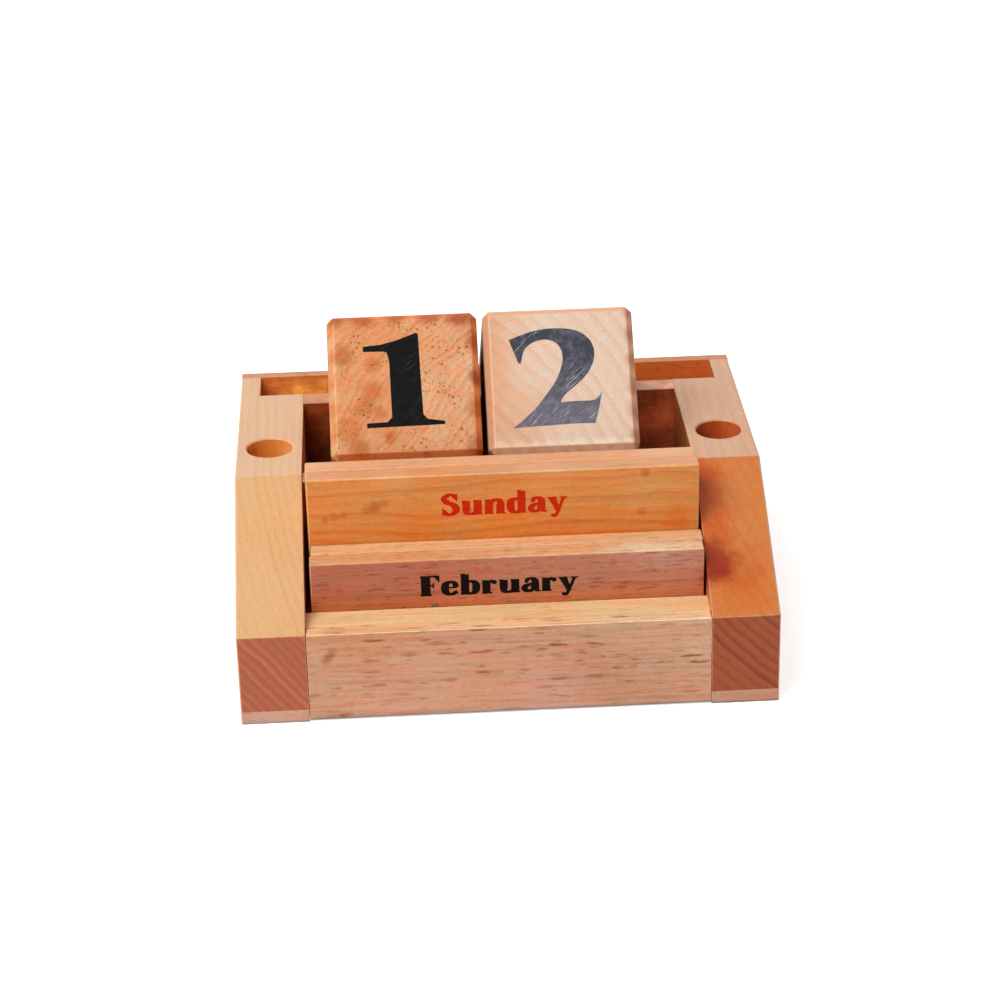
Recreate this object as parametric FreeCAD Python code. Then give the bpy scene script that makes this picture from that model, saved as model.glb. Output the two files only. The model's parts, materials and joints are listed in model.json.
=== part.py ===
import FreeCAD, Part
import math
import os

# Perpetual desk calendar in beech, with a drawer under it.  Millimetres.
# +X right, +Y to the rear, +Z up.  Origin: centre of the underside.
# "y" values are measured back from the front; row_y() turns them into frame values.

# Overall
width = 150.0
depth = 121.6
height = 54.2
base_thickness = 3.9

# Cheeks
cheek_thickness = 19.0
front_height = 27.1
flat_top_length = 75.4
edge_round = 0.6
inner_edge_round = 0.25
crest_round = 1.0

# Pen holes, one in each cheek
pen_hole_radius = 6.6
pen_hole_depth = 38.0
pen_hole_setback = 19.4
pen_hole_chamfer = 0.4

# Card slot across the rear
slot_depth_y = 14.0
slot_end_wall = 5.8
rear_board_thickness = 4.0
divider_thickness = 7.0

# Shelf that floors the trough, the cube pocket and the card slot
shelf_thickness = 3.6
shelf_top = 17.2

# Front rail and the partition between the plates and the cubes
rail_thickness = 8.6
partition_thickness = 6.0
partition_top = 52.7
board_round = 0.3

# Name plates
plate_side_play = 2.4
plate_thickness = 6.0
plate_gap = 0.2
plate_round = 0.5
month_plate_height = 24.5
day_plate_height = 44.4
# Front to rear: node, height, how far the loose plate has slid to the right
plates = [
    ("month_plate_1", month_plate_height, 0.5),
    ("month_plate_2", month_plate_height, 0.9),
    ("day_plate_1", day_plate_height, 0.35),
    ("day_plate_2", day_plate_height, 0.1),
    ("month_plate_3", month_plate_height, -0.3),
]

# Number cubes, leaning back on the partition and the divider
cube_size = 43.2
cube_chamfer = 1.8
cube_round = 0.9
cube_lean = 41.0
cube_rest_gap = 0.25
cube_pair_gap = 1.6
cube_pair_shift = -3.4

# Drawer
drawer_front_thickness = 4.8
drawer_front_reveal = 0.2
drawer_floor_gap = 0.4
drawer_side_gap = 0.12
drawer_under_gap = 0.3
drawer_over_gap = 0.4
drawer_side_thickness = 4.0
drawer_back_thickness = 4.0
drawer_bottom_thickness = 2.5
drawer_rear_gap = 19.6
drawer_front_round = 0.25

# Finger notch in the base board, behind the foot of the drawer front
finger_notch_width = 40.0
finger_notch_depth = 12.0

# Countersunk screws through the base board into the cheeks
screw_radius = 1.6
screw_head_radius = 3.2
screw_length = 14.0
screw_fit = 0.05
screw_recess = 0.2
screw_slot_width = 0.8
screw_slot_depth = 0.8
screw_setback = 14.0

# Worked out from the above
half_width = width / 2
inner_half = half_width - cheek_thickness
cheek_depth = depth - rear_board_thickness
slope_run = depth - flat_top_length
slot_rear = cheek_depth
slot_front = slot_rear - slot_depth_y
slot_half = half_width - slot_end_wall
divider_front = slot_front - divider_thickness
rail_front = drawer_front_thickness + drawer_front_reveal
rail_rear = rail_front + rail_thickness
trough_depth = len(plates) * (plate_thickness + plate_gap) + plate_gap
partition_front = rail_rear + trough_depth
partition_rear = partition_front + partition_thickness
pen_hole_x = half_width - cheek_thickness / 2
pen_hole_y = slope_run + pen_hole_setback
shelf_bottom = shelf_top - shelf_thickness
drawer_half = inner_half - drawer_side_gap
drawer_low = base_thickness + drawer_under_gap
drawer_high = shelf_bottom - drawer_over_gap
drawer_rear = cheek_depth - drawer_rear_gap
plate_length = 2 * inner_half - plate_side_play


def row_y(y):
    """Frame Y of a place y millimetres behind the front."""
    return y - depth / 2


def block(x0, x1, y0, y1, z0, z1):
    """Box between two x, two y and two z values."""
    corner = FreeCAD.Vector(x0, row_y(y0), z0)
    return Part.makeBox(x1 - x0, y1 - y0, z1 - z0, corner)


def cylinder(radius, low, high, x, y):
    """Upright cylinder from z low to z high."""
    foot = FreeCAD.Vector(x, row_y(y), low)
    return Part.makeCylinder(radius, high - low, foot)


def cone(low_radius, high_radius, low, high, x, y):
    """Upright cone from z low to z high."""
    foot = FreeCAD.Vector(x, row_y(y), low)
    return Part.makeCone(low_radius, high_radius, high - low, foot)


def along(edge, axis):
    """True if a straight edge runs along the given axis."""
    if edge.Degenerated or not isinstance(edge.Curve, Part.Line):
        return False
    direction = edge.tangentAt(edge.FirstParameter)
    return abs(direction.dot(axis)) > 0.999


def rounded_ends(shape, axis, radius):
    """Round every straight edge of a shape that runs along axis."""
    edges = [edge for edge in shape.Edges if along(edge, axis)]
    return shape.makeFillet(radius, edges)


def rounded_top(shape, radius):
    """Round the two long edges of a cross board's top face."""
    top = shape.BoundBox.ZMax
    edges = [
        edge for edge in shape.Edges
        if edge.BoundBox.ZMin > top - radius / 2
        and along(edge, FreeCAD.Vector(1, 0, 0))
    ]
    return shape.makeFillet(radius, edges)


def screw_places():
    """x and y of each base screw."""
    return [
        (side * pen_hole_x, y)
        for side in (-1, 1)
        for y in (screw_setback, cheek_depth - screw_setback)
    ]


def screw_hole(x, y):
    """Shank hole, countersink and mouth for one base screw."""
    radius = screw_radius + screw_fit
    head_radius = screw_head_radius + screw_fit
    sink_top = screw_recess + screw_head_radius - screw_radius
    mouth = cylinder(head_radius, 0, screw_recess, x, y)
    head = cone(head_radius, radius, screw_recess, sink_top, x, y)
    shank = cylinder(radius, 0, screw_recess + screw_length + screw_fit, x, y)
    return shank.fuse([head, mouth])


def screw(x, y):
    """One slotted countersunk screw, head down, just inside the base board."""
    low = screw_recess
    sink_top = low + screw_head_radius - screw_radius
    shank = cylinder(screw_radius, low, low + screw_length, x, y)
    head = cone(screw_head_radius, screw_radius, low, sink_top, x, y)
    slot = block(
        x - screw_head_radius, x + screw_head_radius,
        y - screw_slot_width / 2, y + screw_slot_width / 2,
        low, low + screw_slot_depth,
    )
    return shank.fuse(head).cut(slot)


def base_board():
    """Board under the whole object, cut back for the drawer front."""
    board = block(-half_width, half_width, 0, depth, 0, base_thickness)
    board = rounded_ends(board, FreeCAD.Vector(0, 0, 1), edge_round)
    recess = block(-inner_half, inner_half, 0, rail_front, 0, base_thickness)
    notch_half = finger_notch_width / 2
    notch = block(
        -notch_half, notch_half, 0, rail_front + finger_notch_depth,
        0, base_thickness,
    )
    board = board.cut(recess).cut(notch)
    for x, y in screw_places():
        board = board.cut(screw_hole(x, y))
    return board


def cheek_blank():
    """Right cheek before its holes: the side profile carried from the inner
    face to the outer one, with its long edges rounded."""
    outline = [
        (0, base_thickness), (cheek_depth, base_thickness),
        (cheek_depth, height), (slope_run, height), (0, front_height),
    ]
    points = [FreeCAD.Vector(inner_half, row_y(y), z) for y, z in outline]
    face = Part.Face(Part.makePolygon(points + points[:1]))
    blank = face.extrude(FreeCAD.Vector(cheek_thickness, 0, 0))
    crest = [
        edge for edge in blank.Edges
        if along(edge, FreeCAD.Vector(1, 0, 0))
        and abs(edge.CenterOfMass.y - row_y(slope_run)) < 0.01
        and edge.CenterOfMass.z > front_height
    ]
    blank = blank.makeFillet(crest_round, crest)
    blank = blank.makeFillet(edge_round, cheek_edges(blank, outer=True))
    return blank.makeFillet(inner_edge_round, cheek_edges(blank, outer=False))


def cheek_edges(blank, outer):
    """Edges of the top, slope and nose that lie outside or at the inner face."""
    edges = []
    for edge in blank.Edges:
        middle = edge.CenterOfMass
        inner = edge.BoundBox.XMax < inner_half + edge_round / 2
        low = edge.BoundBox.ZMax < base_thickness + edge_round / 2
        rear = edge.BoundBox.YMin > row_y(cheek_depth) - edge_round / 2
        across = along(edge, FreeCAD.Vector(1, 0, 0))
        nose = middle.y < row_y(edge_round)
        if not low and not rear and inner != outer and (nose or not across):
            edges.append(edge)
    return edges


def cheek(side):
    """Solid side with a pen hole, and a step for the end of the card slot."""
    blank = cheek_blank()
    if side < 0:
        blank = blank.mirror(FreeCAD.Vector(0, 0, 0), FreeCAD.Vector(1, 0, 0))
    x = side * pen_hole_x
    hole = cylinder(pen_hole_radius, height - pen_hole_depth, height, x, pen_hole_y)
    mouth = cone(
        pen_hole_radius, pen_hole_radius + pen_hole_chamfer,
        height - pen_hole_chamfer, height, x, pen_hole_y,
    )
    ends = sorted([side * inner_half, side * slot_half])
    step = block(ends[0], ends[1], slot_front, slot_rear, shelf_top, height)
    solid = blank.cut(hole).cut(mouth).cut(step)
    for screw_x, screw_y in screw_places():
        if screw_x * side > 0:
            solid = solid.cut(screw_hole(screw_x, screw_y))
    return solid


def front_rail():
    """Rail behind the drawer front, level with the noses of the cheeks."""
    rail = block(
        -inner_half, inner_half, rail_front, rail_rear, shelf_top, front_height
    )
    return rounded_top(rail, board_round)


def shelf_board():
    """Thin board between the cheeks, over the drawer."""
    return block(
        -inner_half, inner_half, rail_front, cheek_depth, shelf_bottom, shelf_top
    )


def trough_partition():
    """Upright board between the name plates and the cubes."""
    board = block(
        -inner_half, inner_half, partition_front, partition_rear,
        shelf_top, partition_top,
    )
    return rounded_top(board, board_round)


def slot_divider():
    """Upright board between the cubes and the card slot."""
    board = block(
        -inner_half, inner_half, divider_front, slot_front, shelf_top, height
    )
    return rounded_top(board, board_round)


def rear_board():
    """Board across the whole rear."""
    board = block(
        -half_width, half_width, cheek_depth, depth, base_thickness, height
    )
    outer = [
        edge for edge in board.Edges
        if edge.BoundBox.YMin > row_y(depth) - edge_round / 2
        and edge.BoundBox.ZMax > base_thickness + edge_round / 2
    ]
    return board.makeFillet(edge_round, outer)


def base_screws():
    """The screws that hold the base board to the cheeks."""
    return Part.makeCompound([screw(x, y) for x, y in screw_places()])


def name_plate(place, plate_height, shift):
    """Loose plate standing in the trough; place counts from the front."""
    front = rail_rear + plate_gap + place * (plate_thickness + plate_gap)
    plate = block(
        shift - plate_length / 2, shift + plate_length / 2,
        front, front + plate_thickness, shelf_top, shelf_top + plate_height,
    )
    return plate.makeFillet(plate_round, plate.Edges)


def cube_front_foot():
    """y and z of the cubes' lowest front edge.

    The underside clears the partition's rear top edge, and the rear face
    clears the divider's front top edge, by cube_rest_gap.
    """
    lean = math.radians(cube_lean)
    up = (math.sin(lean), math.cos(lean))
    back = (math.cos(lean), -math.sin(lean))
    along_up = partition_rear * up[0] + partition_top * up[1] + cube_rest_gap
    along_back = (
        divider_front * back[0] + height * back[1] - cube_size - cube_rest_gap
    )
    return (
        along_up * up[0] + along_back * back[0],
        along_up * up[1] + along_back * back[1],
    )


def number_cube(side):
    """Cube with softened chamfers, leaning back; side is -1 left, 1 right."""
    middle = cube_pair_shift + side * (cube_size + cube_pair_gap) / 2
    cube = Part.makeBox(
        cube_size, cube_size, cube_size, FreeCAD.Vector(-cube_size / 2, 0, 0)
    )
    cube = cube.makeChamfer(cube_chamfer, cube.Edges)
    cube = cube.makeFillet(cube_round, cube.Edges)
    cube.rotate(FreeCAD.Vector(0, 0, 0), FreeCAD.Vector(1, 0, 0), -cube_lean)
    foot_y, foot_z = cube_front_foot()
    cube.translate(FreeCAD.Vector(middle, row_y(foot_y), foot_z))
    return cube


def drawer_front():
    """Drawer face between the cheeks, down over the edge of the base board."""
    board = block(
        -drawer_half, drawer_half, 0, drawer_front_thickness,
        drawer_floor_gap, front_height,
    )
    return board.makeFillet(drawer_front_round, board.Edges)


def drawer_side(side):
    """Long side of the drawer, behind its face."""
    ends = sorted([side * drawer_half, side * (drawer_half - drawer_side_thickness)])
    return block(
        ends[0], ends[1], drawer_front_thickness, drawer_rear,
        drawer_low, drawer_high,
    )


def drawer_back():
    """Rear of the drawer, between its sides."""
    inside = drawer_half - drawer_side_thickness
    return block(
        -inside, inside, drawer_rear - drawer_back_thickness, drawer_rear,
        drawer_low, drawer_high,
    )


def drawer_bottom():
    """Floor of the drawer, between its sides, face and back."""
    inside = drawer_half - drawer_side_thickness
    return block(
        -inside, inside, drawer_front_thickness,
        drawer_rear - drawer_back_thickness,
        drawer_low, drawer_low + drawer_bottom_thickness,
    )


def all_parts():
    """Every node name with its shape."""
    parts = {
        "base_board": base_board(),
        "left_cheek": cheek(-1),
        "right_cheek": cheek(1),
        "front_rail": front_rail(),
        "shelf_board": shelf_board(),
        "trough_partition": trough_partition(),
        "slot_divider": slot_divider(),
        "rear_board": rear_board(),
        "base_screws": base_screws(),
        "number_cube_left": number_cube(-1),
        "number_cube_right": number_cube(1),
        "drawer_front": drawer_front(),
        "drawer_side_left": drawer_side(-1),
        "drawer_side_right": drawer_side(1),
        "drawer_back": drawer_back(),
        "drawer_bottom": drawer_bottom(),
    }
    for place, (node, plate_height, shift) in enumerate(plates):
        parts[node] = name_plate(place, plate_height, shift)
    return parts


os.makedirs("parts", exist_ok=True)
for node, shape in all_parts().items():
    shape.exportStep("parts/" + node + ".step")
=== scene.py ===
import json
import math

import bmesh
import bpy
from mathutils import Matrix, Vector

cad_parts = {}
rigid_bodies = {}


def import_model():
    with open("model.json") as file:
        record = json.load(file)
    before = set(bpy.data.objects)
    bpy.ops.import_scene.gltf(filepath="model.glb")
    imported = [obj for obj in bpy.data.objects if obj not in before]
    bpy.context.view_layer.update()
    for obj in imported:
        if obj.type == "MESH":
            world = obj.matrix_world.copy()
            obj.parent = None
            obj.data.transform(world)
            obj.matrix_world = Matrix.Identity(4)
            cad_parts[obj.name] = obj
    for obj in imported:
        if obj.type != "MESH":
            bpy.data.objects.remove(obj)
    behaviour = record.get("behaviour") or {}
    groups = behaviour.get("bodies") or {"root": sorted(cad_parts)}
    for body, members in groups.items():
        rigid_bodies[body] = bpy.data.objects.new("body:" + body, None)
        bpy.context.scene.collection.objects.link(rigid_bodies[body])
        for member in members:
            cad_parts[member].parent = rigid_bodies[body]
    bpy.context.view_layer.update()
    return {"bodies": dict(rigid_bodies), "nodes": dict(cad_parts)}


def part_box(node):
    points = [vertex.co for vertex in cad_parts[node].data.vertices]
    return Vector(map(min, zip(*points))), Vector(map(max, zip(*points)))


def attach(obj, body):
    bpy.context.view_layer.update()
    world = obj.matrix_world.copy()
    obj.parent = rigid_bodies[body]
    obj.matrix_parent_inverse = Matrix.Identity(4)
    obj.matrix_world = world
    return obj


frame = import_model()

nodes = frame["nodes"]
scene = bpy.context.scene
kept = set(nodes.values()) | set(frame["bodies"].values())
for extra in [o for o in scene.objects if o not in kept]:
    bpy.data.objects.remove(extra)
print("stage 1: frame loaded,", len(nodes), "nodes")


# Helpers that put shader nodes into a tree and give back their outputs.

def put(tree, kind, inputs=None, **settings):
    node = tree.nodes.new("ShaderNode" + kind)
    for name, value in settings.items():
        setattr(node, name, value)
    for socket, value in (inputs or {}).items():
        if isinstance(value, bpy.types.NodeSocket):
            tree.links.new(value, node.inputs[socket])
        else:
            node.inputs[socket].default_value = value
    return node


def calc(tree, operation, *values, clamp=False):
    node = put(tree, "Math", dict(enumerate(values)), operation=operation, use_clamp=clamp)
    return node.outputs[0]


def calcVector(tree, operation, *values):
    node = put(tree, "VectorMath", dict(enumerate(values)), operation=operation)
    return node.outputs["Value" if operation in ("LENGTH", "DOT_PRODUCT") else "Vector"]


def times(tree, *values):
    return calc(tree, "MULTIPLY", *values)


def timesVector(tree, *values):
    return calcVector(tree, "MULTIPLY", *values)


def turnVector(tree, vector, turns, kind="POINT"):
    for turn in turns:
        inputs = {"Vector": vector, "Rotation": [math.radians(a) for a in turn]}
        vector = put(tree, "Mapping", inputs, vector_type=kind).outputs[0]
    return vector


def axesOf(tree, vector):
    return put(tree, "SeparateXYZ", {0: vector}).outputs


def noise(tree, vector, scale, detail, roughness=0.5):
    inputs = {"Vector": vector, "Scale": scale, "Detail": detail, "Roughness": roughness}
    return put(tree, "TexNoise", inputs).outputs


def longNoise(tree, point, steps, detail, roughness=0.5):
    # noise drawn out along the grain; steps are per millimetre on each axis
    return noise(tree, timesVector(tree, point, steps), 1.0, detail, roughness)


def ramp(tree, value, low, high, toLow=0, toHigh=1):
    inputs = {"Value": value, "From Min": low, "From Max": high, "To Min": toLow, "To Max": toHigh}
    return put(tree, "MapRange", inputs, interpolation_type="SMOOTHSTEP").outputs[0]


def blendColor(tree, amount, first, second, mode="MIX"):
    inputs = {0: amount, 6: first, 7: second}
    return put(tree, "Mix", inputs, data_type="RGBA", blend_type=mode).outputs[2]


def tintColor(tree, amount, color, tint):
    return blendColor(tree, amount, color, blendColor(tree, 1.0, color, tint, "MULTIPLY"))


def linear(red, green, blue):
    # a colour given as 0-255 screen values, as Blender's linear colour
    shades = [c / 255.0 for c in (red, green, blue)]
    shades = [c / 12.92 if c <= 0.04045 else ((c + 0.055) / 1.055) ** 2.4 for c in shades]
    return (*shades, 1.0)


def startMaterial(name):
    material = bpy.data.materials.new(name)
    material.use_nodes = True
    material.node_tree.nodes.clear()
    return material, material.node_tree


def bumps(tree, height, strength, depth):
    return put(tree, "Bump", {"Strength": strength, "Distance": depth, "Height": height}).outputs[0]


def closeMaterial(tree, inputs):
    shader = put(tree, "BsdfPrincipled", inputs)
    put(tree, "OutputMaterial", {"Surface": shader.outputs[0]})


def addObject(name, data):
    item = bpy.data.objects.new(name, data)
    scene.collection.objects.link(item)
    return item


def toMesh(name, shape):
    mesh = bpy.data.meshes.new(name)
    shape.to_mesh(mesh)
    shape.free()
    return mesh


# Camera, lights, room and floor.

studio = {
    "cameraPlace": (-0.031633, -0.726551, 0.387603),
    # yaw, pitch up from straight down, and roll
    "cameraTurns": ((-2.566, "Z"), (64.23, "X"), (-1.316, "Z")),
    "lens": 99.34,
    "sensorWidth": 36.0,
    "clip": (0.02, 50.0),
    "lightAim": (0.0, 0.0, 0.03),
    # name: place, size, power, colour
    "lights": {
        "keyLight": ((-0.50, -0.44, 1.02), 0.8, 11.6, (1.0, 0.965, 0.92)),
        "backLight": ((0.15, 0.95, 0.75), 0.9, 1.2, (1.0, 0.98, 0.96)),
    },
    "roomColor": (0.96, 0.98, 1.0, 1),
    "roomLight": 0.34,
    "white": (1, 1, 1, 1),
    "floorColor": (0.86, 0.86, 0.86, 1),
    "floorLift": 0.66,  # glow that only the camera sees
    "floorWidth": 5.0,
}


def makeCamera(look):
    data = bpy.data.cameras.new("camera")
    data.lens = look["lens"]
    data.sensor_width = look["sensorWidth"]
    data.clip_start, data.clip_end = look["clip"]
    place = Matrix.Translation(look["cameraPlace"])
    for angle, axis in look["cameraTurns"]:
        place = place @ Matrix.Rotation(math.radians(angle), 4, axis)
    scene.camera = addObject("camera", data)
    scene.camera.matrix_world = place


def makeLight(name, place, size, power, color):
    lamp = bpy.data.lights.new(name, "AREA")
    lamp.shape = "DISK"
    lamp.size = size
    lamp.energy = power
    lamp.color = color
    light = addObject(name, lamp)
    light.location = place
    aim = Vector(studio["lightAim"]) - Vector(place)
    light.rotation_euler = aim.to_track_quat("-Z", "Y").to_euler()


def seenRays(tree):
    # 1 for what the camera sees, straight or in a reflection
    rays = put(tree, "LightPath").outputs
    straight = calc(tree, "MAXIMUM", rays["Is Camera Ray"], rays["Is Glossy Ray"])
    return calc(tree, "MAXIMUM", straight, rays["Is Transmission Ray"])


def makeRoom(look):
    scene.world = bpy.data.worlds.new("room")
    scene.world.use_nodes = True
    tree = scene.world.node_tree
    tree.nodes.clear()
    room = put(tree, "Background", {"Color": look["roomColor"], "Strength": look["roomLight"]})
    white = put(tree, "Background", {"Color": look["white"], "Strength": 1.0})
    mixed = put(tree, "MixShader", {0: seenRays(tree), 1: room.outputs[0], 2: white.outputs[0]})
    put(tree, "OutputWorld", {"Surface": mixed.outputs[0]})


def makeFloor(look):
    shape = bmesh.new()
    bmesh.ops.create_grid(shape, x_segments=1, y_segments=1, size=look["floorWidth"] / 2)
    floor = addObject("floor", toMesh("floor", shape))
    material, tree = startMaterial("paleFloor")
    lift = times(tree, seenRays(tree), look["floorLift"])
    paint = put(tree, "BsdfDiffuse", {"Color": look["floorColor"]})
    glow = put(tree, "Emission", {"Color": look["white"], "Strength": lift})
    both = put(tree, "AddShader", {0: paint.outputs[0], 1: glow.outputs[0]})
    put(tree, "OutputMaterial", {"Surface": both.outputs[0]})
    floor.data.materials.append(material)


scene.view_settings.view_transform = "Standard"
makeCamera(studio)
for name, lamp in studio["lights"].items():
    makeLight(name, *lamp)
makeRoom(studio)
makeFloor(studio)
print("stage 2: camera, floor and light")


# Beech in the round. The grain runs along X, growth rings lie about a pith that runs
# beside the block, and faces, sides and ends take their own tones.

beechInputs = {
    "Point": (0, 0, 0), "Normal": (0, 0, 0), "Seed": 0,
    "Face": (1, 1, 1, 1), "Side": (1, 1, 1, 1), "End": (1, 1, 1, 1),
    "Line": (0.80, 0.62, 0.52, 1), "Fleck": (0.62, 0.38, 0.28, 1), "Patch": (1.0, 0.88, 0.80, 1),
    "End Line": (0.7, 0.5, 0.4, 1), "Pith Y": 60, "Pith Z": 60, "Ring Gap": 2.2, "Rings": 0.3,
    "End Rings": 0.6, "Wander": 4, "Flecks": 0.5, "Dashes": 0.4, "Clusters": 0, "Patches": 0.5,
    "Mottle": 0.5, "Fibres": 0.3, "Speckle": 0.1, "Fine": 1,
    "Pale": (1, 1, 1, 1), "Pale From": 0, "Pale To": 1,
}
# noises (steps to a millimetre on each axis, detail, roughness) and the ramps that shape them
grain = {
    "toMillimetres": (1000, 1000, 1000),
    "seedStep": (137.3, 31.7, 53.1),
    "drift": ((0.014, 0.05, 0.05), 2.0, 0.45),
    "ringRise": (0.25, 0.92),
    "ringFall": (1.0, 0.93),
    "ringWeakest": 0.35,
    "endTurn": (0.68, 0.86),
    "sideTurn": (0.55, 0.8),
    "paleDrift": (30, 30, 30),
    "mottle": ((0.06, 0.34, 0.34), 2.0),
    "mottleRamp": (0.34, 0.66),
    "warm": (1.12, 0.92, 0.8, 1),
    "cool": (0.94, 1.02, 1.04, 1),
    "patch": ((0.022, 0.075, 0.075), 4.0, 0.6),
    "patchRamp": (0.36, 0.66),
    "fibre": ((0.05, 1.3, 1.3), 3.0, 0.6),
    "fibreRamp": (0.42, 0.72),
    "cluster": ((0.02, 0.11, 0.11), 1.0),
    "clusterRamp": (0.44, 0.58),
    "wobble": ((0.3, 0.9, 0.9), 2.0),
    "wobbleBy": (3.0, 1.3, 1.3),
    # steps, and the ramp that picks which cells hold a mark
    "marks": {"Flecks": ((0.24, 1.25, 1.25), (0.3, 0.8)), "Dashes": ((0.13, 0.85, 0.85), (0.35, 0.8))},
    "markRamp": (0.46, 0.12),
    "speckle": ((1.1, 2.2, 2.2), 2.0, 0.7),
    "speckleGain": 4.0,
    "rough": (0.38, 0.12, 0.10),  # plain, more on fibres, more on flecks
    "depth": (-0.5, -1.0, -0.4),  # of fibres, flecks and rings
}
edges = {
    "turned": (0.995, 0.93),
    "rub": (420.0, 3.0),  # scale and detail
    "rubRamp": (0.35, 0.65),
    # rise and fall of a thin painted highlight line where a face meets its rounded edge
    "highlightRimRise": (0.9995, 0.985),
    "highlightRimFall": (0.90, 0.95),
}


def startGroup(name, inputs, outputs):
    # a socket's kind follows from its value
    group = bpy.data.node_groups.new(name, "ShaderNodeTree")
    kinds = {1: "NodeSocketFloat", 3: "NodeSocketVector", 4: "NodeSocketColor"}
    for way, sockets in (("INPUT", inputs), ("OUTPUT", outputs)):
        for label, value in sockets.items():
            kind = kinds[len(value) if isinstance(value, tuple) else 1]
            group.interface.new_socket(label, in_out=way, socket_type=kind).default_value = value
    return group, group.nodes.new("NodeGroupInput").outputs, group.nodes.new("NodeGroupOutput").inputs


def makeSolidBeech():
    outputs = {"Color": (1, 1, 1, 1), "Roughness": 0, "Height": 0}
    tree, given, out = startGroup("solidBeech", beechInputs, outputs)
    shift = timesVector(tree, given["Seed"], grain["seedStep"])
    point = calcVector(tree, "MULTIPLY_ADD", given["Point"], grain["toMillimetres"], shift)
    local = timesVector(tree, given["Point"], grain["toMillimetres"])

    # growth rings
    slow = longNoise(tree, point, *grain["drift"])["Color"]
    drift = calcVector(tree, "SUBTRACT", slow, (0.5, 0.5, 0.5))
    pith = put(tree, "CombineXYZ", {"Y": given["Pith Y"], "Z": given["Pith Z"]}).outputs[0]
    fromPith = calcVector(tree, "ADD", local, timesVector(tree, drift, given["Wander"]))
    fromPith = calcVector(tree, "SUBTRACT", fromPith, pith)
    fromPith = timesVector(tree, fromPith, (0, 1, 1))
    count = calc(tree, "DIVIDE", calcVector(tree, "LENGTH", fromPith), given["Ring Gap"])
    part = calc(tree, "FRACT", count)
    ring = times(tree, ramp(tree, part, *grain["ringRise"]), ramp(tree, part, *grain["ringFall"]))
    each = {"W": calc(tree, "FLOOR", count)}
    each = put(tree, "TexWhiteNoise", each, noise_dimensions="1D").outputs["Value"]
    ring = times(tree, ring, ramp(tree, each, 0, 1, grain["ringWeakest"], 1))

    # which way the surface faces
    facing = axesOf(tree, calcVector(tree, "ABSOLUTE", given["Normal"]))
    endGrain = ramp(tree, facing[0], *grain["endTurn"])
    color = blendColor(tree, ramp(tree, facing[2], *grain["sideTurn"]), given["Face"], given["Side"])
    color = blendColor(tree, endGrain, color, given["End"])

    # one side of the block may be paler
    across = axesOf(tree, calcVector(tree, "MULTIPLY_ADD", drift, grain["paleDrift"], local))[1]
    color = tintColor(tree, ramp(tree, across, given["Pale From"], given["Pale To"]), color, given["Pale"])

    # warm and cool mottling, broad patches, fibres and rings
    mottle = longNoise(tree, point, *grain["mottle"])["Fac"]
    tone = blendColor(tree, ramp(tree, mottle, *grain["mottleRamp"]), grain["warm"], grain["cool"])
    color = tintColor(tree, given["Mottle"], color, tone)
    broad = longNoise(tree, point, *grain["patch"])["Fac"]
    patch = times(tree, ramp(tree, broad, *grain["patchRamp"]), given["Patches"])
    color = tintColor(tree, patch, color, given["Patch"])
    fibre = longNoise(tree, point, *grain["fibre"])["Fac"]
    fibreDark = times(tree, ramp(tree, fibre, *grain["fibreRamp"]), given["Fibres"])
    color = tintColor(tree, fibreDark, color, given["Line"])
    strength = put(tree, "Mix", {0: endGrain, 2: given["Rings"], 3: given["End Rings"]}).outputs[0]
    ringDark = times(tree, ring, strength)
    color = tintColor(tree, ringDark, color, blendColor(tree, endGrain, given["Line"], given["End Line"]))

    # short ray flecks, longer soft dashes and a fine speckle
    gather = longNoise(tree, point, *grain["cluster"])["Fac"]
    gather = calc(tree, "SUBTRACT", ramp(tree, gather, *grain["clusterRamp"]), 1.0)
    gather = calc(tree, "MULTIPLY_ADD", gather, given["Clusters"], 1.0)
    wobble = longNoise(tree, point, *grain["wobble"])["Color"]
    loose = calcVector(tree, "MULTIPLY_ADD", wobble, grain["wobbleBy"], point)
    loose = timesVector(tree, loose, given["Fine"])
    fleck = 0.0
    for share, (steps, pick) in grain["marks"].items():
        cells = {"Vector": timesVector(tree, loose, steps), "Scale": 1.0, "Randomness": 1.0}
        cells = put(tree, "TexVoronoi", cells).outputs
        chosen = ramp(tree, axesOf(tree, cells["Color"])[0], *pick)
        mark = times(tree, ramp(tree, cells["Distance"], *grain["markRamp"]), chosen)
        mark = times(tree, times(tree, mark, given[share]), gather)
        fleck = calc(tree, "MAXIMUM", fleck, mark)
    fleck = calc(tree, "MINIMUM", fleck, 1.0)
    color = tintColor(tree, fleck, color, given["Fleck"])
    speckle = calc(tree, "SUBTRACT", longNoise(tree, point, *grain["speckle"])["Fac"], 0.5)
    light = calc(tree, "MULTIPLY_ADD", speckle, times(tree, given["Speckle"], grain["speckleGain"]), 1.0)
    color = blendColor(tree, 1.0, color, light, "MULTIPLY")

    plain, onFibres, onFlecks = grain["rough"]
    rough = calc(tree, "MULTIPLY_ADD", fleck, onFlecks, calc(tree, "MULTIPLY_ADD", fibre, onFibres, plain))
    ofFibres, ofFlecks, ofRings = grain["depth"]
    high = calc(tree, "MULTIPLY_ADD", fibreDark, ofFibres, times(tree, fleck, ofFlecks))
    high = calc(tree, "MULTIPLY_ADD", ringDark, ofRings, high)
    for value, socket in zip((color, rough, high), out):
        tree.links.new(value, socket)
    return tree


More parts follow.
